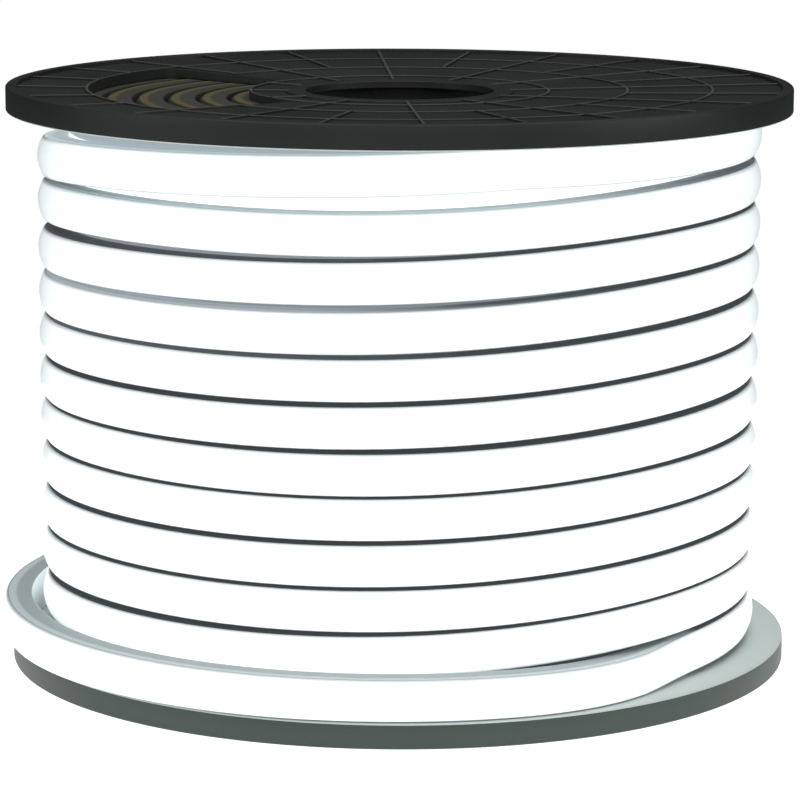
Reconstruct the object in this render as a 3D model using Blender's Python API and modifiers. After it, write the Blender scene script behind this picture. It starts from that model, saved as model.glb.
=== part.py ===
"""Silicone light strip wound on a moulded reel that stands on its end. Metres, +Z up.

The origin is on the reel's axis, at the floor.
"""
import math

import bmesh
import bpy

MM = 0.001

# Reel
FLANGE_RADIUS = 150.0 * MM
FLANGE_THICKNESS = 9.4 * MM
REEL_WIDTH = 202.7 * MM  # between the flanges' inner faces
LIP_WIDTH = 4.2 * MM
EDGE_ROUND = 0.8 * MM  # radius of a flange's outer edges
BORE_RADIUS = 36.0 * MM
HUB_WALL = 7.6 * MM
RECESS_DEPTH = 4.0 * MM  # of a flange's inner face, where the inner layers bear on it
RECESS_ROOM = 1.0 * MM  # between the recess's wall and the inner layers
CORE_RADIUS = 54.0 * MM
CORE_WALL = 4.0 * MM
COLLAR_HEIGHT = 10.0 * MM
COLLAR_WALL = 4.0 * MM

# Ribs on a flange's outer face, which is dished. Each drop is from the lip's face, beside the lip.
DISH = 2.0 * MM  # how far the face falls from the lip to the hub
WEB_DROP = 1.5 * MM
RING_DROP = 0.8 * MM
SPOKE_DROP = 0.6 * MM
RIB_WIDTH = 1.2 * MM
INNER_RING_RADIUS = 57.0 * MM
MIDDLE_RING_RADIUS = 87.0 * MM
OUTER_RING_RADIUS = 119.3 * MM
SPOKES = 12
SPOKE_TURN = math.radians(3.5)  # of the first spoke, from +Y towards -X

# Window in a flange, between its inner and outer ring ribs
WINDOW_START = math.radians(140.0)
WINDOW_END = math.radians(226.0)
WINDOW_CORNER = 12.0 * MM

# Strip
STRIP_HEIGHT = 15.2 * MM
STRIP_DEPTH = 12.0 * MM  # from its flat back to the crest of its domed face
DOME_RISE = 2.3 * MM
PITCH = 16.8 * MM
EDGE_ROOM = 8.0 * MM  # least height of a flange over the winding
BOND = 0.7 * MM  # how far the inner layers reach into the outer layer's back

# Route of the outer layer. Angles run counter-clockwise from +X.
LEAVE_ANGLE = math.radians(-50.0)  # where the loose turn has come down to the flange
STEP_START = math.radians(14.0)  # how far before that the strip starts to step out
STEP_ANGLE = math.radians(18.0)
STEP_ROOM = 0.6 * MM  # between the loose turn and the turn that it steps over
SPREAD = 3.8 * MM  # how much further out the loose turn springs
SPREAD_START = math.radians(26.0)
SPREAD_ANGLE = math.radians(84.0)
LOOSE_ANGLE = math.radians(200.0)
TOP_RUN = math.radians(65.0)  # how far the strip runs on under the upper flange
DIP_ANGLE = math.radians(40.0)  # over which its upper end sinks to the inner layers
TOP_LIFT = 4.4 * MM  # how much the top turn stands off the turn below it
LIFT_START = math.radians(262.0)  # before the upper end
LIFT_ANGLE = math.radians(120.0)
SECOND_LIFT = 1.1 * MM  # how much the turn below bulges up
SECOND_LIFT_START = math.radians(575.0)  # the bulge's middle, before the upper end
SECOND_LIFT_ANGLE = math.radians(55.0)
# How the wound turns wander along the axis: waves in a turn, share of the height, and phase.
# The waves that don't fit a turn make some gaps between turns wider than others.
WANDER_HEIGHT = 1.0 * MM
WANDER = ((1, 0.33, math.radians(21.0)),
          (2, 0.75, math.radians(94.0)),
          (3, 1.0, math.radians(84.0)),
          (1.11, 0.57, math.radians(47.0)),
          (1.39, 0.2, math.radians(-59.0)))

CLEARANCE = 0.3 * MM  # between pieces that touch
TURN_STEPS = 32  # straight lengths in one turn of the strip
ROUND_STEPS = 48
CORNER_STEPS = 4
EDGE_STEPS = 2

LAYERS = int((FLANGE_RADIUS - EDGE_ROOM - CORE_RADIUS) / STRIP_DEPTH)
WINDING_RADIUS = CORE_RADIUS + CLEARANCE + LAYERS * STRIP_DEPTH
INNER_RADIUS = WINDING_RADIUS - STRIP_DEPTH + BOND
HUB_RADIUS = BORE_RADIUS + HUB_WALL
LIP_RADIUS = FLANGE_RADIUS - LIP_WIDTH
LOWER_FACE = FLANGE_THICKNESS
UPPER_FACE = LOWER_FACE + REEL_WIDTH
INNER_FLOOR = LOWER_FACE - RECESS_DEPTH + CLEARANCE
INNER_CEILING = UPPER_FACE + RECESS_DEPTH - CLEARANCE
STRIP_FLOOR = LOWER_FACE + CLEARANCE + STRIP_HEIGHT / 2
STRIP_CEILING = UPPER_FACE - CLEARANCE - STRIP_HEIGHT / 2
CLIMB_ANGLE = math.tau * (STRIP_CEILING - STRIP_FLOOR) / PITCH
UPPER_END = CLIMB_ANGLE + TOP_RUN


def clear_scene():
    for item in list(bpy.data.objects):
        bpy.data.objects.remove(item, do_unlink=True)


def new_collection(name):
    group = bpy.data.collections.new(name)
    bpy.context.scene.collection.children.link(group)
    return group


def new_material(name, color, roughness):
    material = bpy.data.materials.new(name)
    material.use_nodes = True
    shader = material.node_tree.nodes["Principled BSDF"]
    shader.inputs["Base Color"].default_value = (*color, 1.0)
    shader.inputs["Roughness"].default_value = roughness
    return material


def place(name, mesh, group):
    item = bpy.data.objects.new(name, mesh)
    group.objects.link(item)
    return item


def baked(item):
    """Gives the object its evaluated mesh and drops its modifiers."""
    bpy.context.view_layer.update()
    shape = item.evaluated_get(bpy.context.evaluated_depsgraph_get())
    mesh = bpy.data.meshes.new_from_object(shape)
    item.modifiers.clear()
    item.data = mesh
    return item


def combine(item, other, operation):
    """Joins or cuts the first object by the second, which stays with the cutters."""
    change = item.modifiers.new(operation.title(), "BOOLEAN")
    change.operation = operation
    change.solver = "EXACT"
    change.object = other
    return baked(item)


def as_cutter(item):
    item.hide_render = True
    item.display_type = "WIRE"
    return item


def smooth(item):
    item.data.shade_smooth()
    item.data.set_sharp_from_angle(angle=math.radians(35))


def turned(name, profile, steps, group):
    """Turns a closed (radius, height) profile about the Z axis."""
    mesh = bpy.data.meshes.new(name)
    shape = bmesh.new()
    corners = [shape.verts.new((radius, 0.0, height)) for radius, height in profile]
    for near, far in zip(corners, corners[1:] + corners[:1]):
        shape.edges.new((near, far))
    shape.to_mesh(mesh)
    shape.free()
    item = place(name, mesh, group)
    turn = item.modifiers.new("Turn", "SCREW")
    turn.steps = steps
    turn.render_steps = steps
    turn.use_merge_vertices = True
    turn.merge_threshold = 1e-6
    return baked(item)


def dished(radius, drop):
    """Height of the outer face, or of a rib's top, at a radius."""
    return FLANGE_THICKNESS - drop - DISH * (LIP_RADIUS - radius) / (LIP_RADIUS - HUB_RADIUS)


def spokes(group):
    """Long spokes run from the hub to the lip, and short ones between them from the middle ring."""
    mesh = bpy.data.meshes.new("spokes")
    shape = bmesh.new()
    base = (RECESS_DEPTH + dished(HUB_RADIUS, WEB_DROP)) / 2
    outer = FLANGE_RADIUS - LIP_WIDTH / 2
    for count in range(2 * SPOKES):
        long_spoke = count % 2 == 0
        inner = HUB_RADIUS - RIB_WIDTH if long_spoke else MIDDLE_RING_RADIUS
        angle = math.pi / 2 + SPOKE_TURN + count * math.pi / SPOKES
        box = bmesh.ops.create_cube(shape, size=1.0)["verts"]
        bmesh.ops.scale(shape, verts=box, vec=(outer - inner, RIB_WIDTH, 1.0))
        bmesh.ops.translate(shape, verts=box, vec=((outer + inner) / 2, 0.0, 0.0))
        for corner in box:
            corner.co.z = dished(corner.co.x, SPOKE_DROP) if corner.co.z > 0.0 else base
        spin = [[math.cos(angle), -math.sin(angle), 0.0],
                [math.sin(angle), math.cos(angle), 0.0],
                [0.0, 0.0, 1.0]]
        for corner in box:
            corner.co = [sum(row[i] * corner.co[i] for i in range(3)) for row in spin]
    shape.to_mesh(mesh)
    shape.free()
    return as_cutter(place("spokes", mesh, group))


def window(group):
    """A sector between the ring ribs, right through the flange, with round corners."""
    mesh = bpy.data.meshes.new("window")
    shape = bmesh.new()
    inner = INNER_RING_RADIUS + RIB_WIDTH / 2
    outer = OUTER_RING_RADIUS - RIB_WIDTH / 2
    low = -FLANGE_THICKNESS
    high = 2 * FLANGE_THICKNESS
    ends = [(inner, low), (outer, low), (outer, high), (inner, high)]
    start = [shape.verts.new((radius * math.cos(WINDOW_START), radius * math.sin(WINDOW_START), height))
             for radius, height in ends]
    face = shape.faces.new(start)
    steps = round(ROUND_STEPS * (WINDOW_END - WINDOW_START) / math.tau)
    bmesh.ops.spin(shape, geom=[face], cent=(0, 0, 0), axis=(0, 0, 1), steps=steps,
                   angle=WINDOW_END - WINDOW_START)
    bmesh.ops.recalc_face_normals(shape, faces=shape.faces)
    upright = [edge for edge in shape.edges
               if abs(edge.verts[0].co.z - edge.verts[1].co.z) > FLANGE_THICKNESS
               and edge.calc_face_angle(0.0) > math.radians(60)]
    bmesh.ops.bevel(shape, geom=upright, offset=WINDOW_CORNER, segments=CORNER_STEPS, profile=0.5,
                    affect="EDGES", material=-1)
    shape.to_mesh(mesh)
    shape.free()
    return as_cutter(place("window", mesh, group))


def rounded_edge(height, way):
    """Points of a flange's round outer edge, from its flat face to its rim; the face looks up or down."""
    middle = height - way * EDGE_ROUND
    turns = [math.pi / 2 * step / EDGE_STEPS for step in range(EDGE_STEPS + 1)]
    return [(FLANGE_RADIUS - EDGE_ROUND + EDGE_ROUND * math.sin(turn),
             middle + way * EDGE_ROUND * math.cos(turn)) for turn in turns]


def flange_profile():
    """Half section of a flange whose inner face lies at zero and whose ribs face up."""
    hub_top = dished(HUB_RADIUS, RING_DROP)
    collar = CORE_RADIUS - CORE_WALL - CLEARANCE
    recess = INNER_RADIUS + RECESS_ROOM
    profile = [(BORE_RADIUS, hub_top), (HUB_RADIUS, hub_top), (HUB_RADIUS, dished(HUB_RADIUS, WEB_DROP))]
    for ring in (INNER_RING_RADIUS, MIDDLE_RING_RADIUS, OUTER_RING_RADIUS):
        near = ring - RIB_WIDTH / 2
        far = ring + RIB_WIDTH / 2
        top = dished(ring, RING_DROP)
        profile += [(near, dished(near, WEB_DROP)), (near, top), (far, top), (far, dished(far, WEB_DROP))]
    profile += [(LIP_RADIUS, dished(LIP_RADIUS, WEB_DROP)), (LIP_RADIUS, FLANGE_THICKNESS)]
    profile += rounded_edge(FLANGE_THICKNESS, 1)
    profile += reversed(rounded_edge(0.0, -1))
    profile += [(recess, 0.0), (recess, RECESS_DEPTH),
                (collar, RECESS_DEPTH), (collar, -COLLAR_HEIGHT),
                (collar - COLLAR_WALL, -COLLAR_HEIGHT), (collar - COLLAR_WALL, RECESS_DEPTH),
                (BORE_RADIUS, RECESS_DEPTH)]
    return profile


def flanges(group, cutters, material):
    """Both flanges are the same moulding; the lower one is turned over about the X axis."""
    upper = turned("upper_flange", flange_profile(), ROUND_STEPS, group)
    combine(upper, spokes(cutters), "UNION")
    combine(upper, window(cutters), "DIFFERENCE")
    upper.data.materials.clear()
    upper.data.materials.append(material)
    smooth(upper)
    upper.location.z = UPPER_FACE
    lower = place("lower_flange", upper.data, group)
    lower.rotation_euler.x = math.pi
    lower.location.z = LOWER_FACE


def core_tube(group, material):
    """The barrel between the flanges, over a collar on each."""
    inner = CORE_RADIUS - CORE_WALL
    profile = [(inner, INNER_CEILING), (CORE_RADIUS, INNER_CEILING),
               (CORE_RADIUS, INNER_FLOOR), (inner, INNER_FLOOR)]
    tube = turned("core_tube", profile, ROUND_STEPS, group)
    tube.data.materials.append(material)
    smooth(tube)


def rise(share):
    """Smooth step from 0 to 1."""
    share = min(max(share, 0.0), 1.0)
    return share * share * (3.0 - 2.0 * share)


def wander(angle):
    return WANDER_HEIGHT * sum(share * math.cos(waves * angle + phase) for waves, share, phase in WANDER)


def strip_height_at(travel):
    """Height of the strip's middle, by the angle travelled up from where it leaves the flange."""
    if travel < 0.0:
        return STRIP_FLOOR
    height = STRIP_FLOOR + PITCH * travel / math.tau
    height += wander(LEAVE_ANGLE + travel) - wander(LEAVE_ANGLE)
    height += TOP_LIFT * rise((travel - UPPER_END + LIFT_START) / LIFT_ANGLE)
    bulge = (travel - UPPER_END + SECOND_LIFT_START) / SECOND_LIFT_ANGLE
    height += SECOND_LIFT * math.exp(-bulge * bulge)
    return min(max(height, STRIP_FLOOR), STRIP_CEILING)


def strip_radius_at(travel):
    """Radius of the strip's crest: it steps out to the loose turn, and sinks at its upper end."""
    out = max(STEP_START - travel, 0.0)
    radius = WINDING_RADIUS
    radius += (STRIP_DEPTH + STEP_ROOM) * (1.0 - math.exp(-(out / STEP_ANGLE) ** 2))
    radius += SPREAD * rise((out - STEP_START - SPREAD_START) / SPREAD_ANGLE)
    radius -= STRIP_DEPTH * rise((travel - UPPER_END + DIP_ANGLE) / DIP_ANGLE)
    return radius


def strip_section(group):
    """Outline of the strip: a flat back and a domed face. Its origin is at the crest."""
    half = STRIP_HEIGHT / 2
    corners = [(-STRIP_DEPTH, -half), (-DOME_RISE, -half)]
    corners += [(-DOME_RISE * share * share, share * half) for share in (-0.6, 0.0, 0.6)]
    corners += [(-DOME_RISE, half), (-STRIP_DEPTH, half)]
    outline = bpy.data.curves.new("strip_section", "CURVE")
    outline.dimensions = "2D"
    line = outline.splines.new("POLY")
    line.points.add(len(corners) - 1)
    for point, (depth, height) in zip(line.points, corners):
        point.co = (depth, height, 0.0, 1.0)
    line.use_cyclic_u = True
    return as_cutter(place("strip_section", outline, group))


def outer_layer(group, cutters):
    """The layer that shows, as one length of strip from the loose end up to the upper flange."""
    count = round(TURN_STEPS * (UPPER_END + LOOSE_ANGLE) / math.tau)
    route = bpy.data.curves.new("route", "CURVE")
    route.dimensions = "3D"
    route.twist_mode = "Z_UP"
    route.bevel_mode = "OBJECT"
    route.bevel_object = strip_section(cutters)
    route.use_fill_caps = True
    line = route.splines.new("POLY")
    line.points.add(count)
    for step, point in enumerate(line.points):
        travel = math.tau * step / TURN_STEPS - LOOSE_ANGLE
        angle = LEAVE_ANGLE + travel
        radius = strip_radius_at(travel)
        point.co = (radius * math.cos(angle), radius * math.sin(angle), strip_height_at(travel), 1.0)
    curve = place("route", route, cutters)
    bpy.context.view_layer.update()
    shape = curve.evaluated_get(bpy.context.evaluated_depsgraph_get())
    mesh = bpy.data.meshes.new_from_object(shape)
    layer = place("light_strip", mesh, group)
    layer.matrix_world = curve.matrix_world
    bpy.data.objects.remove(curve)
    welded = bmesh.new()
    welded.from_mesh(mesh)
    bmesh.ops.remove_doubles(welded, verts=welded.verts, dist=1e-6)
    bmesh.ops.recalc_face_normals(welded, faces=welded.faces)
    welded.to_mesh(mesh)
    welded.free()
    return layer


def inner_layers(cutters):
    """The hidden layers as one turned ring; a groove between layers shows on each end."""
    high = INNER_CEILING
    bore = (CORE_RADIUS + CLEARANCE) / math.cos(math.pi / TURN_STEPS)
    seams = [WINDING_RADIUS - count * STRIP_DEPTH for count in range(LAYERS - 1, 1, -1)]
    top = [(bore, high)]
    for seam in seams:
        top += [(seam - DOME_RISE, high), (seam, high - DOME_RISE), (seam, high)]
    top.append((INNER_RADIUS, high))
    bottom = [(radius, INNER_FLOOR + high - height) for radius, height in reversed(top)]
    return as_cutter(turned("inner_layers", top + bottom, TURN_STEPS, cutters))


def light_strip(group, cutters, material):
    """One continuous length: the outer layer, joined to the layers beneath it."""
    strip = outer_layer(group, cutters)
    combine(strip, inner_layers(cutters), "UNION")
    strip.data.materials.clear()
    strip.data.materials.append(material)
    smooth(strip)


def main():
    clear_scene()
    reel = new_collection("silicone_light_strip_reel")
    cutters = new_collection("cutters")
    black = new_material("black_moulded_plastic", (0.022, 0.024, 0.023), 0.55)
    milky = new_material("milky_silicone", (0.86, 0.88, 0.88), 0.45)
    flanges(reel, cutters, black)
    core_tube(reel, black)
    light_strip(reel, cutters, milky)


main()
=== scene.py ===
# %% [markdown]
# # A reel of lit silicone strip
# Lighting shops sell flexible light strip by the reel: a square cord of milky silicone with lamps
# inside it, wound on a black plastic spool. Here the strip is switched on, so its domed face glows
# white, and the last turn has sprung loose and lies on the lower flange.
# The reel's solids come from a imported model. This lesson gives each one its finished form and
# surface: first the two moulded flanges, then the strip, then the light and the camera.

# %% Load the solids
import math

import bmesh
import bpy
from mathutils import Matrix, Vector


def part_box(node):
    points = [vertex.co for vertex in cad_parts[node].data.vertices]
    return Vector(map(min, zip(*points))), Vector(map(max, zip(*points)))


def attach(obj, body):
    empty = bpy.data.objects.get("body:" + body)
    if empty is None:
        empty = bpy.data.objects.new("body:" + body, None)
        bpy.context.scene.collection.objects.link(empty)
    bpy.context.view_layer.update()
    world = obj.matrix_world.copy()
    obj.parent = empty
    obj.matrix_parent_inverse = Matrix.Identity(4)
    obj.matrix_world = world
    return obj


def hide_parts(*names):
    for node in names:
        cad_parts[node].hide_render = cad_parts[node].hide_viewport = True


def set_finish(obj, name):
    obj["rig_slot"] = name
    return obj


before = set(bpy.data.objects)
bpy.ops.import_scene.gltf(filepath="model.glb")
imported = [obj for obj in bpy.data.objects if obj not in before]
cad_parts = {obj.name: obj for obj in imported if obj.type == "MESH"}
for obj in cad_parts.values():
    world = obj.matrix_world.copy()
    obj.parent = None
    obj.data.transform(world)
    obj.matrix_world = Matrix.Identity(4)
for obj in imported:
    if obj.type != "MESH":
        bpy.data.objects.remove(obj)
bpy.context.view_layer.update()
print("solids:", ", ".join(sorted(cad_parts)))

# %% [markdown]
# ## Two small tools
# A colour picked in an image is an sRGB hex value, but a shader adds light, so it needs linear
# numbers. Shaders here are built from nodes, and each node needs its settings and its links. One
# function does each job, so that a material further down reads like a recipe.

# %% Colour and node tools
MM = 0.001


def linear(text):
    """Turns an sRGB hex colour into linear red, green, blue and alpha."""
    parts = [int(text[i:i + 2], 16) / 255 for i in (1, 3, 5)]
    return (*[p / 12.92 if p <= 0.04045 else ((p + 0.055) / 1.055) ** 2.4 for p in parts], 1.0)


def add_node(tree, kind, sockets=None, **settings):
    """Adds a node. A socket is given a value, or another node's output to read from."""
    node = tree.nodes.new(kind)
    for name, value in settings.items():
        setattr(node, name, value)
    for name, value in (sockets or {}).items():
        if isinstance(value, bpy.types.NodeSocket):
            tree.links.new(value, node.inputs[name])
        else:
            node.inputs[name].default_value = value
    return node


def new_material(name, **values):
    """Makes a Principled material; the values go straight on the shader's own sockets."""
    material = bpy.data.materials.new(name)
    material.use_nodes = True
    shader = material.node_tree.nodes["Principled BSDF"]
    for socket, value in values.items():
        shader.inputs[socket.replace("_", " ")].default_value = value
    return material, material.node_tree, shader


print("middle grey in linear numbers:", [round(part, 3) for part in linear("#808080")])

# %% [markdown]
# ## Tools for meshes
# Every piece starts in a bmesh, which is Blender's editable mesh. When its shape is done, it
# becomes an object that stays at the origin, and its place is in its corners. A sharp-edge angle
# tells the renderer where a surface really breaks: below it faces blend, above it they don't.

# %% Finished pieces
SHARP = math.radians(24)


def finish_piece(shape, name, materials):
    """Turns a bmesh into an object with its materials and smooth shading."""
    bmesh.ops.recalc_face_normals(shape, faces=shape.faces)
    mesh = bpy.data.meshes.new(name)
    shape.to_mesh(mesh)
    shape.free()
    for material in materials:
        mesh.materials.append(material)
    mesh.shade_smooth()
    mesh.set_sharp_from_angle(angle=SHARP)
    piece = bpy.data.objects.new(name, mesh)
    bpy.context.scene.collection.objects.link(piece)
    print(name, "has", sum(len(face.vertices) - 2 for face in mesh.polygons), "triangles")
    return piece


def bake(piece):
    """Gives a piece the mesh that its modifiers make, and drops them."""
    bpy.context.view_layer.update()
    shape = piece.evaluated_get(bpy.context.evaluated_depsgraph_get())
    mesh = bpy.data.meshes.new_from_object(shape)
    piece.modifiers.clear()
    piece.data = mesh


print("edges over this many degrees stay sharp:", round(math.degrees(SHARP)))

# %% Turned shapes
# Two places closer than this count as one, when a test picks corners by where they are.
CLOSE = 0.01 * MM


def half_section(corners):
    """Starts a bmesh from a closed outline of (radius, height) corners, as one face."""
    shape = bmesh.new()
    shape.faces.new([shape.verts.new((radius, 0.0, height)) for radius, height in corners])
    return shape


def round_corners(shape, radius, segments, where):
    """Rounds the outline's corners whose places pass the test."""
    picked = [corner for corner in shape.verts if where(corner.co)]
    bmesh.ops.bevel(shape, geom=picked, offset=radius, segments=segments, profile=0.5,
                    affect="VERTICES", material=-1)


def turn(shape, steps):
    """Turns the outline about the reel's axis into a closed ring."""
    outline = list(shape.faces)
    edges = list(shape.edges)
    bmesh.ops.delete(shape, geom=outline, context="FACES_ONLY")
    bmesh.ops.spin(shape, geom=edges, cent=(0, 0, 0), axis=(0, 0, 1), dvec=(0, 0, 0),
                   angle=math.tau, steps=steps, use_merge=True)


print("places closer than this count as one, in mm:", round(CLOSE / MM, 3))

# %% [markdown]
# ## Black moulded plastic
# Reels like this are injection moulded from recycled polystyrene or ABS, coloured black. The
# surface isn't pure black: it is a dark, slightly green grey with a soft sheen, because the mould's
# steel was only lightly polished. Two things make it read as plastic and not as paint. Cloudy
# patches about 60 mm wide come from the melt's flow, and change both the colour and the gloss a
# little. A fine grain about 0.5 mm across softens the highlights.
# The lower flange is paler than the upper one: painted light, for the light that the floor and the
# glowing strip throw on it. Both are palest on their inner faces, where the strip's glow falls;
# that is painted light too, a thin, pale, matt finish on the plastic.

# %% Black plastic material
CLOUD_WIDTH = 60 * MM
GRAIN_WIDTH = 0.5 * MM
GRAIN_HEIGHT = 0.02 * MM
# A noise seldom leaves these values, so the ranges that read one start and end here.
NOISE_LOW, NOISE_HIGH = 0.3, 0.7


def moulded_plastic(name, light, dark, rough_low, rough_high, **values):
    """Black moulded styrene: the eye gets a dark body under a soft, slightly uneven sheen."""
    material, tree, shader = new_material(name, IOR=1.46, Metallic=0.0, **values)
    place = add_node(tree, "ShaderNodeTexCoord").outputs["Object"]
    clouds = add_node(tree, "ShaderNodeTexNoise",
                      {"Vector": place, "Scale": 1 / CLOUD_WIDTH, "Detail": 2.0, "Roughness": 0.5})
    body = add_node(tree, "ShaderNodeMix",
                    {0: clouds.outputs["Fac"], 6: linear(dark), 7: linear(light)}, data_type="RGBA")
    gloss = add_node(tree, "ShaderNodeMapRange",
                     {"Value": clouds.outputs["Fac"], "From Min": NOISE_LOW, "From Max": NOISE_HIGH,
                      "To Min": rough_low, "To Max": rough_high})
    grain = add_node(tree, "ShaderNodeTexNoise",
                     {"Vector": place, "Scale": 1 / GRAIN_WIDTH, "Detail": 2.0})
    bump = add_node(tree, "ShaderNodeBump",
                    {"Height": grain.outputs["Fac"], "Strength": 0.2, "Distance": GRAIN_HEIGHT})
    tree.links.new(body.outputs[2], shader.inputs["Base Color"])
    tree.links.new(gloss.outputs["Result"], shader.inputs["Roughness"])
    tree.links.new(bump.outputs["Normal"], shader.inputs["Normal"])
    return material


upper_plastic = moulded_plastic("black_moulded_styrene_upper", "#282e2b", "#212523", 0.4, 0.5)
# The lower flange is a lighter copy of the upper plastic: painted light from the floor and the
# strip.
lower_painted_light_plastic = moulded_plastic("black_moulded_styrene_painted_light_lower", "#4a5550", "#404a45", 0.42, 0.5,
                                Specular_IOR_Level=0.3)
# The rib crests' paler colour is a painted highlight.
crest_highlight_plastic = moulded_plastic("black_moulded_styrene_painted_highlight", "#5d5f59", "#4c4e49", 0.4, 0.5)
# The inner faces' pale colour is painted light: the glow that the strip throws on them.
strip_glow_plastic = moulded_plastic("black_moulded_styrene_painted_strip_light", "#d2dad7", "#c8d1ce", 0.7, 0.8)
for made in (upper_plastic, lower_painted_light_plastic, crest_highlight_plastic, strip_glow_plastic):
    print("plastic:", made.name)

# %% [markdown]
# ## The flanges' outline
# A flange is a thin disc with low stiffening ribs on its outer side: a lip round the edge, three
# ring ribs, a hub with a bore for the spindle, and spokes. The side is dished, so it falls a little
# from the lip to the hub. Underneath, a shallow recess takes the ends of the inner layers. Only the
# spokes and the window break the disc's roundness, so most of it is one half section turned about
# the axis, which is also how the mould's insert is cut on a lathe. The inner face lies at height
# zero here, and the ribs face up.

# %% Flange sizes
FLANGE_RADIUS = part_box("lower_flange")[1].y
FLANGE_THICKNESS = 9.4 * MM
UPPER_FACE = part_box("upper_flange")[1].z - FLANGE_THICKNESS
LIP_RADIUS = FLANGE_RADIUS - 4.2 * MM
EDGE_ROUND = 0.8 * MM
BORE_RADIUS = 36.0 * MM
HUB_RADIUS = 43.6 * MM
RINGS = (57.0 * MM, 87.0 * MM, 119.3 * MM)
RIB_WIDTH = 1.2 * MM
RIB_ROUND = 0.3 * MM
DISH = 2.0 * MM
WEB_DROP = 1.5 * MM
RING_DROP = 0.8 * MM
SPOKE_DROP = 0.6 * MM
RECESS_DEPTH = 4.0 * MM
RECESS_RADIUS = 128.0 * MM
COLLAR_RADIUS = 49.7 * MM
COLLAR_WALL = 4.0 * MM
COLLAR_HEIGHT = 10.0 * MM
ROUND_STEPS = 160
print("flange radius in mm:", round(FLANGE_RADIUS / MM, 2))
print("flange thickness in mm:", round(FLANGE_THICKNESS / MM, 2))


# %% Flange half section
def dished(radius, drop):
    """Height of the dished outer side at a radius: beside the lip it lies the drop below it."""
    return FLANGE_THICKNESS - drop - DISH * (LIP_RADIUS - radius) / (LIP_RADIUS - HUB_RADIUS)


def flange_outline():
    """Corners of the half section, from the bore outwards along the ribs and back underneath."""
    hub_top = dished(HUB_RADIUS, RING_DROP)
    corners = [(BORE_RADIUS, hub_top), (HUB_RADIUS, hub_top),
               (HUB_RADIUS, dished(HUB_RADIUS, WEB_DROP))]
    for ring in RINGS:
        near, far = ring - RIB_WIDTH / 2, ring + RIB_WIDTH / 2
        top = dished(ring, RING_DROP)
        corners += [(near, dished(near, WEB_DROP)), (near, top),
                    (far, top), (far, dished(far, WEB_DROP))]
    collar_bore = COLLAR_RADIUS - COLLAR_WALL
    corners += [(LIP_RADIUS, dished(LIP_RADIUS, WEB_DROP)), (LIP_RADIUS, FLANGE_THICKNESS),
                (FLANGE_RADIUS, FLANGE_THICKNESS), (FLANGE_RADIUS, 0.0),
                (RECESS_RADIUS, 0.0), (RECESS_RADIUS, RECESS_DEPTH),
                (COLLAR_RADIUS, RECESS_DEPTH), (COLLAR_RADIUS, -COLLAR_HEIGHT),
                (collar_bore, -COLLAR_HEIGHT), (collar_bore, RECESS_DEPTH),
                (BORE_RADIUS, RECESS_DEPTH)]
    return corners


def is_rib_corner(at):
    """True on the tops of the hub, the ring ribs and the lip's inner edge.

    A rib's top is level, so its outer corner lies a little under the dished side's own line.
    """
    rib_slope = DISH * RIB_WIDTH / (LIP_RADIUS - HUB_RADIUS)
    return at.x < LIP_RADIUS + RIB_ROUND and at.z > dished(at.x, RING_DROP) - rib_slope - CLOSE


def turned_flange():
    """The disc with its lip, ring ribs, hub and collar. A moulding has no sharp outer corner."""
    shape = half_section(flange_outline())
    round_corners(shape, EDGE_ROUND, 4, lambda at: at.x > FLANGE_RADIUS - CLOSE)
    round_corners(shape, RIB_ROUND, 2, is_rib_corner)
    turn(shape, ROUND_STEPS)
    return shape


print("corners of the half section:", len(flange_outline()))


# %% [markdown]
# ## Spokes and window
# Twelve long spokes run from the hub to the lip, and twelve short ones start at the middle ring,
# where the gaps get wide. Each is a bar from a cube, with its upper edges rounded. The window is a
# sector with round corners between the first and last ring rib. It saves plastic, and through it
# the user sees how much strip is left. Both are joined to or cut from the disc with a Boolean.

# %% Spoke shapes
SPOKES = 12
SPOKE_TURN = math.radians(3.5)


def add_spoke(shape, angle, inner):
    """One bar, drawn along X with its top on the dished side, and then turned to its place."""
    base = (RECESS_DEPTH + dished(HUB_RADIUS, WEB_DROP)) / 2
    outer = (FLANGE_RADIUS + LIP_RADIUS) / 2
    bar = bmesh.ops.create_cube(shape, size=1.0)["verts"]
    bmesh.ops.scale(shape, verts=bar, vec=(outer - inner, RIB_WIDTH, 1.0))
    bmesh.ops.translate(shape, verts=bar, vec=((outer + inner) / 2, 0.0, 0.0))
    for corner in bar:
        corner.co.z = dished(corner.co.x, SPOKE_DROP) if corner.co.z > 0.0 else base
    upper_edges = {edge for corner in bar for edge in corner.link_edges
                   if all(end.co.z > base + CLOSE for end in edge.verts)
                   and abs(edge.verts[0].co.x - edge.verts[1].co.x) > RIB_WIDTH}
    rounded = bmesh.ops.bevel(shape, geom=list(upper_edges), offset=RIB_ROUND, segments=2,
                              profile=0.5, affect="EDGES", material=-1)
    corners = {corner for corner in bar if corner.is_valid} | set(rounded["verts"])
    bmesh.ops.rotate(shape, verts=list(corners), cent=(0, 0, 0),
                     matrix=Matrix.Rotation(angle, 3, "Z"))


def spokes():
    """All the bars: every second one starts at the hub, and the others at the middle ring."""
    shape = bmesh.new()
    for count in range(2 * SPOKES):
        inner = HUB_RADIUS - RIB_WIDTH if count % 2 == 0 else RINGS[1]
        add_spoke(shape, math.pi / 2 + SPOKE_TURN + count * math.pi / SPOKES, inner)
    return finish_piece(shape, "spokes", [])


print("spokes on each flange:", 2 * SPOKES)

# %% Window shape
WINDOW_START = math.radians(140.0)
WINDOW_END = math.radians(226.0)
WINDOW_CORNER = 12.0 * MM
SQUARE_ENOUGH = math.radians(60.0)


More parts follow.
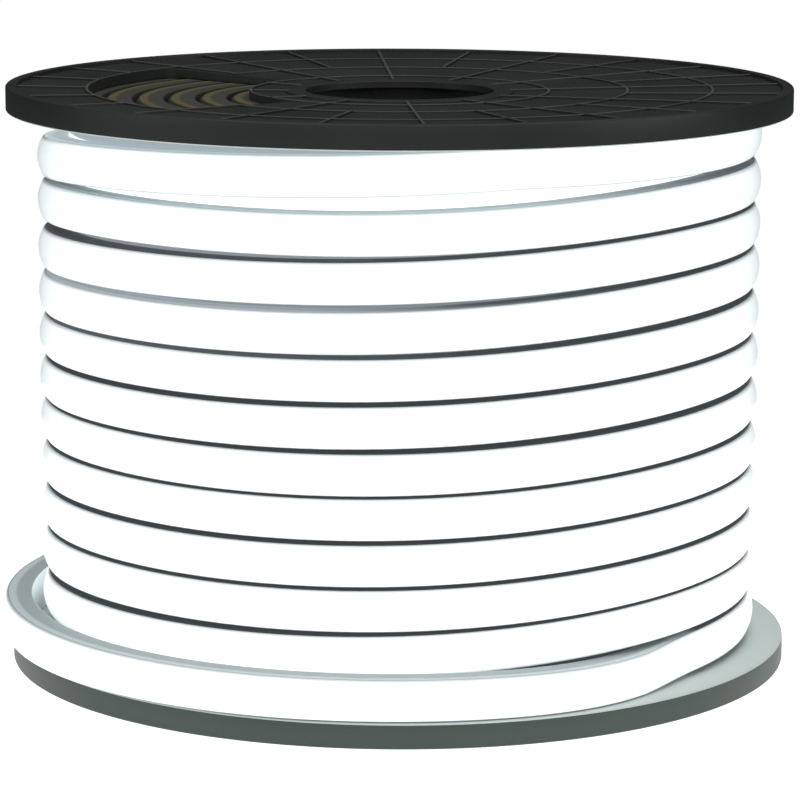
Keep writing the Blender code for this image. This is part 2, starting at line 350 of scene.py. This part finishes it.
def window():
    """A block that is swept round part of the disc, with its upright corners rounded."""
    inner, outer = RINGS[0] + RIB_WIDTH / 2, RINGS[2] - RIB_WIDTH / 2
    low, high = -FLANGE_THICKNESS, 2 * FLANGE_THICKNESS
    shape = half_section([(inner, low), (outer, low), (outer, high), (inner, high)])
    bmesh.ops.rotate(shape, verts=shape.verts, cent=(0, 0, 0),
                     matrix=Matrix.Rotation(WINDOW_START, 3, "Z"))
    sweep = WINDOW_END - WINDOW_START
    bmesh.ops.spin(shape, geom=list(shape.faces), cent=(0, 0, 0), axis=(0, 0, 1), dvec=(0, 0, 0),
                   angle=sweep, steps=round(ROUND_STEPS * sweep / math.tau))
    bmesh.ops.recalc_face_normals(shape, faces=shape.faces)
    upright = [edge for edge in shape.edges
               if abs(edge.verts[0].co.z - edge.verts[1].co.z) > FLANGE_THICKNESS
               and edge.calc_face_angle(0.0) > SQUARE_ENOUGH]
    bmesh.ops.bevel(shape, geom=upright, offset=WINDOW_CORNER, segments=10, profile=0.5,
                    affect="EDGES", material=-1)
    return finish_piece(shape, "window", [])


print("the window spans this many degrees:", round(math.degrees(WINDOW_END - WINDOW_START)))

# %% [markdown]
# ## The two mouldings
# Each flange is joined from its disc and spokes, and then cut. After that its faces are sorted into
# three finishes: the ribs' tops carry a painted highlight, the flat inner face carries the strip's
# glow as painted light, and the rest is as moulded. The solids in the frame stay for collision, and
# these pieces stand for them.

# %% Joining, and where the finishes go
def combine(piece, other, operation):
    """Joins a shape to a piece or cuts it from the piece, and drops the shape."""
    change = piece.modifiers.new(operation.title(), "BOOLEAN")
    change.operation = operation
    change.solver = "EXACT"
    change.object = other
    bake(piece)
    bpy.data.objects.remove(other)


def is_rib_crest(face):
    """True on the tops of the rings and spokes, which carry a painted highlight."""
    radius = math.hypot(face.center.x, face.center.y)
    on_rib = HUB_RADIUS < radius < LIP_RADIUS and face.normal.z > 0.5
    return on_rib and face.center.z > dished(radius, (WEB_DROP + RING_DROP) / 2)


def is_painted_glow_face(face):
    """True on the flat inner face outside the recess and its edge: painted light from the strip."""
    radius = math.hypot(face.center.x, face.center.y)
    return radius > RECESS_RADIUS and face.normal.z < -0.5 and face.center.z < EDGE_ROUND


crest_height = dished(LIP_RADIUS, (WEB_DROP + RING_DROP) / 2)
print("beside the lip, a rib's crest lies above this height in mm:", round(crest_height / MM, 2))

# %% Both flanges
# The small rounds' facets, 22 degrees apart or more, stay crisp. The disc's steps of 2 blend.
FLANGE_SHARP = math.radians(16.0)


def flange(name, material, over):
    """One moulding. The lower flange is the same one, turned over about the X axis."""
    piece = finish_piece(turned_flange(), name, [material])
    combine(piece, spokes(), "UNION")
    combine(piece, window(), "DIFFERENCE")
    piece.data.materials.clear()
    for finish in (material, crest_highlight_plastic, strip_glow_plastic):
        piece.data.materials.append(finish)
    # Rib crests get a painted highlight, and the inner face gets the strip's glow as painted light.
    for face in piece.data.polygons:
        face.material_index = 1 if is_rib_crest(face) else 2 if is_painted_glow_face(face) else 0
    piece.data.transform(over)
    piece.data.shade_smooth()
    piece.data.set_sharp_from_angle(angle=FLANGE_SHARP)
    return piece


raised = Matrix.Translation((0, 0, UPPER_FACE))
turned_over = Matrix.Translation((0, 0, FLANGE_THICKNESS)) @ Matrix.Rotation(math.pi, 4, "X")
upper_disc = flange("upper_flange_moulding", upper_plastic, raised)
lower_disc = flange("lower_flange_moulding", lower_painted_light_plastic, turned_over)
for piece, node in ((upper_disc, "upper_flange"), (lower_disc, "lower_flange")):
    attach(piece, "root")
    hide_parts(node)
    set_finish(piece, "black_moulded_plastic")
    print(piece.name, "has", len(piece.data.polygons), "faces")

# %% [markdown]
# ## The core
# The barrel between the flanges is hidden by the strip, and shows only down the bore. Its solid has
# the right shape already, so it stays and gets the same plastic as the flanges.

# %% Core finish
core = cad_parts["core_tube"]
core.data.materials.clear()
core.data.materials.append(upper_plastic)
core["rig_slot"] = "black_moulded_plastic"
core_low, core_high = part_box("core_tube")
print("core tube height in mm:", round((core_high.z - core_low.z) / MM, 1))

# %% [markdown]
# ## The strip's materials
# Light strip of this kind is pressed through a die from two silicones at once. The face is a milky
# diffuser, domed, and lit from inside, so it looks flat white with only its edges a little dimmer.
# The flat sides and back are a denser, greyer silicone that keeps most of the light in: a paler
# band next to the face, and a darker base band that holds the lamps. In the slots between the turns
# the sides carry painted shade, dark grey, except on the loose turn. On a few stretches they glow
# more instead, as painted light in the gaps.
# The patterns follow the strip along its coils, so they can't read positions in space. Each corner
# carries three numbers instead: its depth behind the crest and its height across the face, in mm,
# and how bright its side is: 0 for painted shade, 1 for a plain side, and more for painted light.

# %% Lit face material
SILICONE_IOR = 1.41
FACE_SKIN_WIDTH = 9 * MM
# The lit face dims between these two depths behind the crest, in mm, to this share of its light.
DIM_START = 1.4
DIM_END = 2.5
DIM_SHARE = 0.1


def lit_face(name, glow):
    """Milky silicone diffuser, lit: an even white, with a satin skin that dims at the shoulders."""
    material, tree, shader = new_material(name, IOR=SILICONE_IOR, Base_Color=linear("#dfe4e4"),
                                          Emission_Color=linear("#f4fbff"),
                                          Coat_Weight=1.0, Coat_IOR=1.5, Coat_Roughness=0.25)
    depth = add_node(tree, "ShaderNodeAttribute", attribute_name="depth").outputs["Fac"]
    strength = add_node(tree, "ShaderNodeMapRange",
                        {"Value": depth, "From Min": DIM_START, "From Max": DIM_END,
                         "To Min": glow, "To Max": DIM_SHARE * glow},
                        interpolation_type="SMOOTHSTEP")
    place = add_node(tree, "ShaderNodeTexCoord").outputs["Object"]
    skin = add_node(tree, "ShaderNodeTexNoise",
                    {"Vector": place, "Scale": 1 / FACE_SKIN_WIDTH, "Detail": 3.0})
    satin = add_node(tree, "ShaderNodeMapRange",
                     {"Value": skin.outputs["Fac"], "From Min": NOISE_LOW, "From Max": NOISE_HIGH,
                      "To Min": 0.34, "To Max": 0.48})
    tree.links.new(strength.outputs["Result"], shader.inputs["Emission Strength"])
    tree.links.new(satin.outputs["Result"], shader.inputs["Roughness"])
    return material


face_silicone = lit_face("milky_silicone_lit", 0.9)
inner_face_silicone = lit_face("milky_silicone_lit_deeper", 0.95)
print("face materials:", face_silicone.name, inner_face_silicone.name)


# %% Side wall material
# Depths behind the crest, in mm: the thin line beside the face, the two bands, and the back.
LINE_END = 2.8
LINE_GONE = 3.2
PALE_BAND_END = 5.0
BASE_BAND_START = 6.8
BACK_START = 11.8
DIE_LINES_PER_MM = 3.5
DIE_LINE_HEIGHT = 0.1 * MM
WALL_SKIN_WIDTH = 6 * MM
# A side whose brightness is 2 glows this many times as much as at 1: painted light in the gaps.
GAP_GLOW_GAIN = 9


def side_wall(name, pale, grey, line, back, slot_shade, leak):
    """Dense silicone: a matt wall in two bands, with fine lines from the die, and a plain back."""
    material, tree, shader = new_material(name, IOR=SILICONE_IOR, Emission_Color=linear("#e4f0fa"))
    depth = add_node(tree, "ShaderNodeAttribute", attribute_name="depth").outputs["Fac"]
    band = add_node(tree, "ShaderNodeMapRange",
                    {"Value": depth, "From Min": PALE_BAND_END, "From Max": BASE_BAND_START},
                    interpolation_type="SMOOTHSTEP")
    bands = add_node(tree, "ShaderNodeMix",
                     {0: band.outputs["Result"], 6: linear(pale), 7: linear(grey)},
                     data_type="RGBA")
    edge = add_node(tree, "ShaderNodeMapRange",
                    {"Value": depth, "From Min": LINE_GONE, "From Max": LINE_END})
    lined = add_node(tree, "ShaderNodeMix",
                     {0: edge.outputs["Result"], 6: bands.outputs[2], 7: linear(line)},
                     data_type="RGBA")
    behind = add_node(tree, "ShaderNodeMath", {0: depth, 1: BACK_START}, operation="GREATER_THAN")
    backed = add_node(tree, "ShaderNodeMix",
                      {0: behind.outputs["Value"], 6: lined.outputs[2], 7: linear(back)},
                      data_type="RGBA")
    die = add_node(tree, "ShaderNodeTexNoise",
                   {"W": depth, "Scale": DIE_LINES_PER_MM, "Detail": 2.0}, noise_dimensions="1D")
    streak = add_node(tree, "ShaderNodeMapRange",
                      {"Value": die.outputs["Fac"], "From Min": NOISE_LOW, "From Max": NOISE_HIGH,
                       "To Min": 0.86, "To Max": 1.0})
    tinted = add_node(tree, "ShaderNodeMix",
                      {0: 1.0, 6: backed.outputs[2], 7: streak.outputs["Result"]},
                      data_type="RGBA", blend_type="MULTIPLY")
    # At brightness 0 a side takes the slot shade colour: painted shade in the slots.
    bright = add_node(tree, "ShaderNodeAttribute", attribute_name="bright").outputs["Fac"]
    shade_mixed = add_node(tree, "ShaderNodeMix",
                      {0: bright, 6: linear(slot_shade), 7: tinted.outputs[2]}, data_type="RGBA")
    # Above brightness 1 the side glows more: painted light in the gaps.
    glow = add_node(tree, "ShaderNodeMapRange",
                    {"Value": bright, "From Min": 1.0, "From Max": 2.0,
                     "To Min": leak, "To Max": GAP_GLOW_GAIN * leak})
    place = add_node(tree, "ShaderNodeTexCoord").outputs["Object"]
    skin = add_node(tree, "ShaderNodeTexNoise",
                    {"Vector": place, "Scale": 1 / WALL_SKIN_WIDTH, "Detail": 3.0})
    matt = add_node(tree, "ShaderNodeMapRange",
                    {"Value": skin.outputs["Fac"], "From Min": NOISE_LOW, "From Max": NOISE_HIGH,
                     "To Min": 0.45, "To Max": 0.6})
    bump = add_node(tree, "ShaderNodeBump",
                    {"Height": die.outputs["Fac"], "Strength": 0.4, "Distance": DIE_LINE_HEIGHT})
    tree.links.new(shade_mixed.outputs[2], shader.inputs["Base Color"])
    tree.links.new(glow.outputs["Result"], shader.inputs["Emission Strength"])
    tree.links.new(matt.outputs["Result"], shader.inputs["Roughness"])
    tree.links.new(bump.outputs["Normal"], shader.inputs["Normal"])
    return material


# Its dark slot shade colour is painted shade on the wound turns' sides in the slots.
wall_silicone = side_wall("dense_silicone_wall", pale="#d2dcdc", grey="#aab3b2", line="#9aa3a3",
                          back="#eef3f3", slot_shade="#44494c", leak=0.045)
# The inner layers' ends, seen through the windows under the flange, are a darker copy of the wall
# silicone: painted shade.
painted_shade_ends_silicone = side_wall("dense_silicone_wall_inner_ends_painted_shade", pale="#746a44", grey="#4b4b44",
                         line="#3a3a34", back="#4b4b44", slot_shade="#3a3a33", leak=0.0)
print("side materials:", wall_silicone.name, painted_shade_ends_silicone.name)


# %% [markdown]
# ## The cut end
# The loose end is cut square with a blade. The cut shows what the strip is made of: the milky
# diffuser in front, a shell of dense silicone round it, and the thin circuit strip across the back
# of the light channel. It is drawn by the depth and the height that each corner carries.

# %% Cut end material
# All in mm. An edge on the cut fades over a short way, because two silicones are fused there.
DIFFUSER_DEPTH = 7.0
DIFFUSER_HALF = 6.0
DIFFUSER_FADE = 0.3
CIRCUIT_DEPTH = 8.1
CIRCUIT_HALF = 0.2
CIRCUIT_FADE = 0.1


def cut_end():
    """A fresh cut through the strip: matt, with the shell, the diffuser and the circuit strip."""
    material, tree, shader = new_material("cut_silicone_end", IOR=SILICONE_IOR, Roughness=0.6)
    depth = add_node(tree, "ShaderNodeAttribute", attribute_name="depth").outputs["Fac"]
    across = add_node(tree, "ShaderNodeAttribute", attribute_name="across").outputs["Fac"]
    side = add_node(tree, "ShaderNodeMath", {0: across}, operation="ABSOLUTE").outputs["Value"]
    in_depth = add_node(tree, "ShaderNodeMapRange",
                        {"Value": depth, "From Min": DIFFUSER_DEPTH + DIFFUSER_FADE,
                         "From Max": DIFFUSER_DEPTH})
    in_width = add_node(tree, "ShaderNodeMapRange",
                        {"Value": side, "From Min": DIFFUSER_HALF + DIFFUSER_FADE,
                         "From Max": DIFFUSER_HALF})
    diffuser = add_node(tree, "ShaderNodeMath",
                        {0: in_depth.outputs["Result"], 1: in_width.outputs["Result"]},
                        operation="MULTIPLY")
    behind = add_node(tree, "ShaderNodeMath", {0: depth, 1: CIRCUIT_DEPTH}, operation="SUBTRACT")
    off_line = add_node(tree, "ShaderNodeMath", {0: behind.outputs["Value"]}, operation="ABSOLUTE")
    line = add_node(tree, "ShaderNodeMapRange",
                    {"Value": off_line.outputs["Value"], "From Min": CIRCUIT_HALF + CIRCUIT_FADE,
                     "From Max": CIRCUIT_HALF})
    circuit = add_node(tree, "ShaderNodeMath",
                       {0: line.outputs["Result"], 1: in_width.outputs["Result"]},
                       operation="MULTIPLY")
    shell = add_node(tree, "ShaderNodeMix",
                     {0: diffuser.outputs["Value"], 6: linear("#aab5b3"), 7: linear("#eef4f4")},
                     data_type="RGBA")
    body = add_node(tree, "ShaderNodeMix",
                    {0: circuit.outputs["Value"], 6: shell.outputs[2], 7: linear("#8a7a4e")},
                    data_type="RGBA")
    tree.links.new(body.outputs[2], shader.inputs["Base Color"])
    return material


cut_silicone = cut_end()
print("cut end material:", cut_silicone.name)

# %% [markdown]
# ## The strip's section
# The section starts as a rectangle. Its front edge is divided and pushed into a shallow dome, and
# the two shoulders are rounded. The three numbers are written on its corners now, because every
# later copy of the section inherits them. Every side starts at brightness 1, with no painted shade.

# %% Strip sizes
STRIP_HEIGHT = 15.2 * MM
STRIP_DEPTH = 12.0 * MM
DOME_RISE = 2.3 * MM
SHOULDER_RADIUS = 0.7 * MM
DOME_CUTS = 9
CORE_RADIUS = 54.0 * MM
CLEARANCE = 0.3 * MM
LAYERS = 7
WINDING_RADIUS = CORE_RADIUS + CLEARANCE + LAYERS * STRIP_DEPTH
# A face that lies no deeper behind the crest than this, in mm, belongs to the dome.
DOME_DEPTH = DOME_RISE / MM + 0.35
print("winding radius in mm:", round(WINDING_RADIUS / MM, 1))


# %% Strip section
def write_numbers(shape, crest):
    """Stores on each corner its depth and its height in mm, and the brightness 1 of a plain side.
    """
    depth = shape.verts.layers.float.new("depth")
    across = shape.verts.layers.float.new("across")
    bright = shape.verts.layers.float.new("bright")
    for corner in shape.verts:
        corner[depth] = (crest - corner.co.x) / MM
        corner[across] = corner.co.z / MM
        corner[bright] = 1.0


def strip_section():
    """The section of the outer layer, upright on the X axis, with its middle at height zero."""
    half = STRIP_HEIGHT / 2
    back, crest = WINDING_RADIUS - STRIP_DEPTH, WINDING_RADIUS
    shape = half_section([(back, -half), (crest, -half), (crest, half), (back, half)])
    front = [edge for edge in shape.edges if all(end.co.x > back + CLOSE for end in edge.verts)]
    bmesh.ops.subdivide_edges(shape, edges=front, cuts=DOME_CUTS)
    for corner in shape.verts:
        if corner.co.x > back + CLOSE:
            corner.co.x -= DOME_RISE * (corner.co.z / half) ** 2
    round_corners(shape, SHOULDER_RADIUS, 3,
                  lambda at: at.x > back + CLOSE and abs(at.z) > half - CLOSE)
    write_numbers(shape, crest)
    return shape


print("a face is the dome's down to this depth in mm:", round(DOME_DEPTH, 2))

# %% [markdown]
# ## The route
# The strip is one continuous length. It starts loose on the lower flange, steps inwards onto the
# winding, and climbs one strip height and a small gap in each turn up to the other flange. Real
# winding is never even: the turns wander up and down together, and some gaps open wider. A few slow
# waves give that. The route answers two questions for any angle travelled: how high is the strip's
# middle, and how far out is its crest.

# %% Route sizes
LOWER_FACE = FLANGE_THICKNESS
PITCH = 16.8 * MM
LEAVE_ANGLE = math.radians(-50.0)
STEP_START = math.radians(14.0)
STEP_ANGLE = math.radians(18.0)
STEP_ROOM = 0.6 * MM
SPREAD = 3.8 * MM
SPREAD_START = math.radians(26.0)
SPREAD_ANGLE = math.radians(84.0)
LOOSE_ANGLE = math.radians(200.0)
TOP_RUN = math.radians(65.0)
DIP_ANGLE = math.radians(40.0)
TOP_LIFT = 4.4 * MM
LIFT_START = math.radians(262.0)
LIFT_ANGLE = math.radians(120.0)
SECOND_LIFT = 1.1 * MM
SECOND_LIFT_START = math.radians(575.0)
SECOND_LIFT_ANGLE = math.radians(55.0)
WANDER_HEIGHT = 1.0 * MM
# The slow waves: how many to a turn, the share of the height, and where they start.
WANDER = ((1, 0.33, math.radians(21.0)),
          (2, 0.75, math.radians(94.0)),
          (3, 1.0, math.radians(84.0)),
          (1.11, 0.57, math.radians(47.0)),
          (1.39, 0.2, math.radians(-59.0)))
STRIP_FLOOR = LOWER_FACE + CLEARANCE + STRIP_HEIGHT / 2
STRIP_CEILING = UPPER_FACE - CLEARANCE - STRIP_HEIGHT / 2
UPPER_END = math.tau * (STRIP_CEILING - STRIP_FLOOR) / PITCH + TOP_RUN
print("turns on the outer layer:", round((UPPER_END + LOOSE_ANGLE) / math.tau, 2))


# %% Route height and radius
def rise(share):
    """Smooth step from 0 to 1."""
    share = min(max(share, 0.0), 1.0)
    return share * share * (3.0 - 2.0 * share)


def wander(angle):
    """How far the slow waves lift the strip at an angle."""
    waves = sum(share * math.cos(count * angle + start) for count, share, start in WANDER)
    return WANDER_HEIGHT * waves


def strip_height_at(travel):
    """Height of the strip's middle, by the angle travelled up from where it leaves the flange."""
    if travel < 0.0:
        return STRIP_FLOOR
    height = STRIP_FLOOR + PITCH * travel / math.tau
    height += wander(LEAVE_ANGLE + travel) - wander(LEAVE_ANGLE)
    height += TOP_LIFT * rise((travel - UPPER_END + LIFT_START) / LIFT_ANGLE)
    bulge = (travel - UPPER_END + SECOND_LIFT_START) / SECOND_LIFT_ANGLE
    height += SECOND_LIFT * math.exp(-bulge * bulge)
    return min(max(height, STRIP_FLOOR), STRIP_CEILING)


def strip_radius_at(travel):
    """Radius of the crest: it steps out to the loose turn, and sinks at its upper end."""
    out = max(STEP_START - travel, 0.0)
    radius = WINDING_RADIUS
    radius += (STRIP_DEPTH + STEP_ROOM) * (1.0 - math.exp(-(out / STEP_ANGLE) ** 2))
    radius += SPREAD * rise((out - STEP_START - SPREAD_START) / SPREAD_ANGLE)
    radius -= STRIP_DEPTH * rise((travel - UPPER_END + DIP_ANGLE) / DIP_ANGLE)
    return radius


print("loose turn reaches, in mm:", round(strip_radius_at(-LOOSE_ANGLE) / MM, 1))

# %% [markdown]
# ## Winding the strip
# A spin with a rise per step makes an even helix from the section, closed at both ends. Then every
# corner is moved from the even helix to the real route. To do that, the script must know how far
# round a corner is. Its angle alone can't say which turn it is on, but its height can, because a
# section is lower than the helix climbs in one turn.

# %% Winding
TURN_STEPS = 112


def wind(shape, angle):
    """Spins the section into an even helix."""
    steps = round(TURN_STEPS * angle / math.tau)
    bmesh.ops.spin(shape, geom=list(shape.faces), cent=(0, 0, 0), axis=(0, 0, 1),
                   dvec=(0, 0, PITCH * angle / math.tau / steps), angle=angle, steps=steps)
    print("sections along the strip:", steps + 1)


# %% Laying it on the route
# Stretches whose sides glow, as painted light in the gaps: the middle, before the upper end, the
# reach to either side, and the brightness.
PAINTED_GLOW_STRETCHES = ((math.radians(525.0), math.radians(62.0), 1.15),
         (math.radians(1275.0), math.radians(64.0), 1.8),
         (math.radians(165.0), math.radians(180.0), 1.75))


def brightness_at(travel):
    """1 on the loose turn; the glowing stretches, painted light, fade into 0, painted shade."""
    if travel < STEP_START:
        return 1.0
    return sum(level * math.exp(-((travel - UPPER_END + before) / reach) ** 4)
               for before, reach, level in PAINTED_GLOW_STRETCHES)


def lay_on_route(corner, bright):
    """Moves a corner of the even helix to its place on the real route."""
    angle = math.atan2(corner.co.y, corner.co.x) % math.tau
    turns = round((corner.co.z - PITCH * angle / math.tau) / PITCH)
    angle += turns * math.tau
    travel = angle - LOOSE_ANGLE
    radius = math.hypot(corner.co.x, corner.co.y) - WINDING_RADIUS + strip_radius_at(travel)
    corner.co.x = radius * math.cos(LEAVE_ANGLE + travel)
    corner.co.y = radius * math.sin(LEAVE_ANGLE + travel)
    corner.co.z += strip_height_at(travel) - PITCH * angle / math.tau
    corner[bright] = brightness_at(travel)


print("lit_gap stretches:", len(PAINTED_GLOW_STRETCHES))

# %% Outer layer
# The strip's material slots.
FACE, WALL, CUT, INNER_FACE, INNER_WALL = range(5)


def is_cut(face):
    """True on the two ends: they keep the section's many corners, and every other face has four."""
    return len(face.verts) > 4


def outer_layer():
    """The layer that shows, in one length from the loose end to the upper one."""
    shape = strip_section()
    wind(shape, UPPER_END + LOOSE_ANGLE)
    bright = shape.verts.layers.float["bright"]
    for corner in shape.verts:
        lay_on_route(corner, bright)
    depth = shape.verts.layers.float["depth"]
    for face in shape.faces:
        inmost = max(corner[depth] for corner in face.verts)
        face.material_index = CUT if is_cut(face) else FACE if inmost < DOME_DEPTH else WALL
    return shape


print("material slots on the strip:", INNER_WALL + 1)

# %% [markdown]
# ## The layers beneath
# Six more layers lie under the one that shows. Only two parts of them can be seen: the face of the
# outermost, in the widest gap, and the ends of all six, through the windows in the flanges. So each
# is one turned ring, with the strip's own depth and dome at both ends.

# %% Inner layers
RING_STEPS = 128
DOME_STEPS = 5
RING_ROOM = 0.1 * MM
CRESTS = [WINDING_RADIUS - count * STRIP_DEPTH - RING_ROOM for count in range(1, LAYERS)]
# The part of the outermost ring that the widest gap shows, and how bright its sides are there:
# above 1, so they glow as painted light.
LIT_FROM = UPPER_FACE - 1.75 * PITCH
LIT_TO = UPPER_FACE - STRIP_HEIGHT / 2
GAP_BRIGHTNESS = 1.75


def ring_outline(crest, low, high):
    """Half section of one layer: a flat back, and a front that curves in towards both ends."""
    half = STRIP_HEIGHT / 2
    shares = [step / DOME_STEPS for step in range(DOME_STEPS + 1)]
    upper = [(crest - DOME_RISE * share ** 2, high - half * (1 - share)) for share in shares]
    lower = [(radius, low + high - height) for radius, height in reversed(upper)]
    back = crest - STRIP_DEPTH + RING_ROOM
    return [(back, low), *lower, (crest, LIT_FROM), (crest, LIT_TO), *upper, (back, high)]


def inner_layer(crest):
    """One ring between the flanges' recesses. Only the outermost has a front that shows."""
    low, high = LOWER_FACE - RECESS_DEPTH + CLEARANCE, UPPER_FACE + RECESS_DEPTH - CLEARANCE
    shape = half_section(ring_outline(crest, low, high))
    round_corners(shape, SHOULDER_RADIUS, 2,
                  lambda at: at.x > crest - DOME_RISE - CLOSE
                  and not low + CLOSE < at.z < high - CLOSE)
    write_numbers(shape, crest)
    turn(shape, RING_STEPS)
    depth = shape.verts.layers.float["depth"]
    bright = shape.verts.layers.float["bright"]
    for corner in shape.verts:
        # Above where the widest gap starts a side gets painted light, and below it painted shade.
        corner[bright] = GAP_BRIGHTNESS if corner.co.z > LIT_FROM - CLOSE else 0.0
    for face in shape.faces:
        inmost = max(corner[depth] for corner in face.verts)
        height = face.calc_center_median().z
        shows = crest == CRESTS[0] and inmost < DOME_DEPTH and LOWER_FACE < height < UPPER_FACE
        front = INNER_FACE if LIT_FROM < height < LIT_TO else WALL
        face.material_index = front if shows else INNER_WALL
    return shape


print("crests of the inner layers in mm:", [round(crest / MM, 1) for crest in CRESTS])


# %% The whole strip
def joined(shapes):
    """Puts several bmeshes into the first."""
    first = shapes[0]
    for shape in shapes[1:]:
        mesh = bpy.data.meshes.new("part")
        shape.to_mesh(mesh)
        shape.free()
        first.from_mesh(mesh)
        bpy.data.meshes.remove(mesh)
    return first


layers = [outer_layer(), *[inner_layer(crest) for crest in CRESTS]]
silicones = [face_silicone, wall_silicone, cut_silicone, inner_face_silicone, painted_shade_ends_silicone]
strip = finish_piece(joined(layers), "silicone_light_strip", silicones)
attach(strip, "root")
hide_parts("light_strip")
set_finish(strip, "milky_silicone")
print("layers of strip:", len(layers))

# %% [markdown]
# ## Floor
# The reel stands on a small round light table, as in a shop's catalogue: matt white acrylic, lit
# from below, so that it blends into the white behind it and takes no shadow. It also lights the
# rims from below, and the lower rim most, because it is nearest.

# %% Floor
TABLE_RADIUS = 0.55
acrylic, *_ = new_material("matt_white_lit_acrylic", Roughness=0.8, IOR=1.3,
                           Base_Color=linear("#c8caca"), Emission_Color=linear("#ffffff"),
                           Emission_Strength=1.0)
floor_shape = bmesh.new()
bmesh.ops.create_circle(floor_shape, cap_ends=True, segments=96, radius=TABLE_RADIUS)
floor = finish_piece(floor_shape, "floor", [acrylic])

# %% [markdown]
# ## Light
# A photographer's set-up for a product on white: a wide soft box high overhead, a soft box on each
# side to draw the ends of the rims, and a large one in front, which fills the strip's face. The
# world is plain white to the eye. For reflections it is dim, as the dark end of a studio is, and so
# the black plastic stays black even where it is seen at a low angle.

# %% Soft boxes
def soft_box(name, place, turned, width, height, power):
    """A flat light: its place and size are in metres, its turn in degrees and its power in W."""
    lamp = bpy.data.lights.new(name, "AREA")
    lamp.shape = "RECTANGLE"
    lamp.size, lamp.size_y, lamp.energy = width, height, power
    lamp_object = bpy.data.objects.new(name, lamp)
    lamp_object.location = place
    lamp_object.rotation_euler = [math.radians(angle) for angle in turned]
    bpy.context.scene.collection.objects.link(lamp_object)
    print(name, "gives", power, "W")


soft_box("overhead", (0.0, 0.3, 2.4), (0, 0, 0), 3.4, 3.4, 34)
soft_box("left", (-2.2, -0.8, 1.0), (90, 0, -70), 1.6, 1.6, 11)
soft_box("right", (2.2, -0.8, 1.0), (90, 0, 70), 1.6, 1.6, 15)
soft_box("front", (0.0, -3.2, 1.6), (66, 0, 0), 3.6, 2.4, 30)

# %% World
world = bpy.data.worlds.new("white studio")
world.use_nodes = True
bpy.context.scene.world = world
sky = world.node_tree
sky.nodes.clear()
ray = add_node(sky, "ShaderNodeLightPath")
seen = add_node(sky, "ShaderNodeBackground", {"Color": linear("#ffffff"), "Strength": 1.0})
felt = add_node(sky, "ShaderNodeBackground", {"Color": linear("#dfe8e6"), "Strength": 0.03})
both = add_node(sky, "ShaderNodeMixShader",
                {0: ray.outputs["Is Camera Ray"], 1: felt.outputs["Background"],
                 2: seen.outputs["Background"]})
add_node(sky, "ShaderNodeOutputWorld", {"Surface": both.outputs["Shader"]})
bpy.context.scene.view_settings.view_transform = "Standard"
print("world nodes:", len(sky.nodes))

# %% [markdown]
# ## Camera
# The photograph was taken from about 1.4 m away with a long lens, a little above the reel's top and
# square on. A long lens keeps the two flanges nearly the same size.

# %% Camera
CAMERA_PLACE = (0.00018, -1.413, 0.3578)
CAMERA_DOWN = math.radians(10.412)
CAMERA_YAW = math.radians(0.014)
CAMERA_ROLL = math.radians(0.189)
FOCAL_LENGTH = 166.53
lens = bpy.data.cameras.new("camera")
lens.lens = FOCAL_LENGTH
lens.sensor_width = 36.0
lens.clip_start, lens.clip_end = 0.05, 50.0
camera = bpy.data.objects.new("camera", lens)
camera.matrix_world = (Matrix.Translation(CAMERA_PLACE) @ Matrix.Rotation(-CAMERA_YAW, 4, "Z")
                       @ Matrix.Rotation(math.pi / 2 - CAMERA_DOWN, 4, "X")
                       @ Matrix.Rotation(CAMERA_ROLL, 4, "Z"))
bpy.context.scene.collection.objects.link(camera)
bpy.context.scene.camera = camera
print("camera lens in mm:", lens.lens)
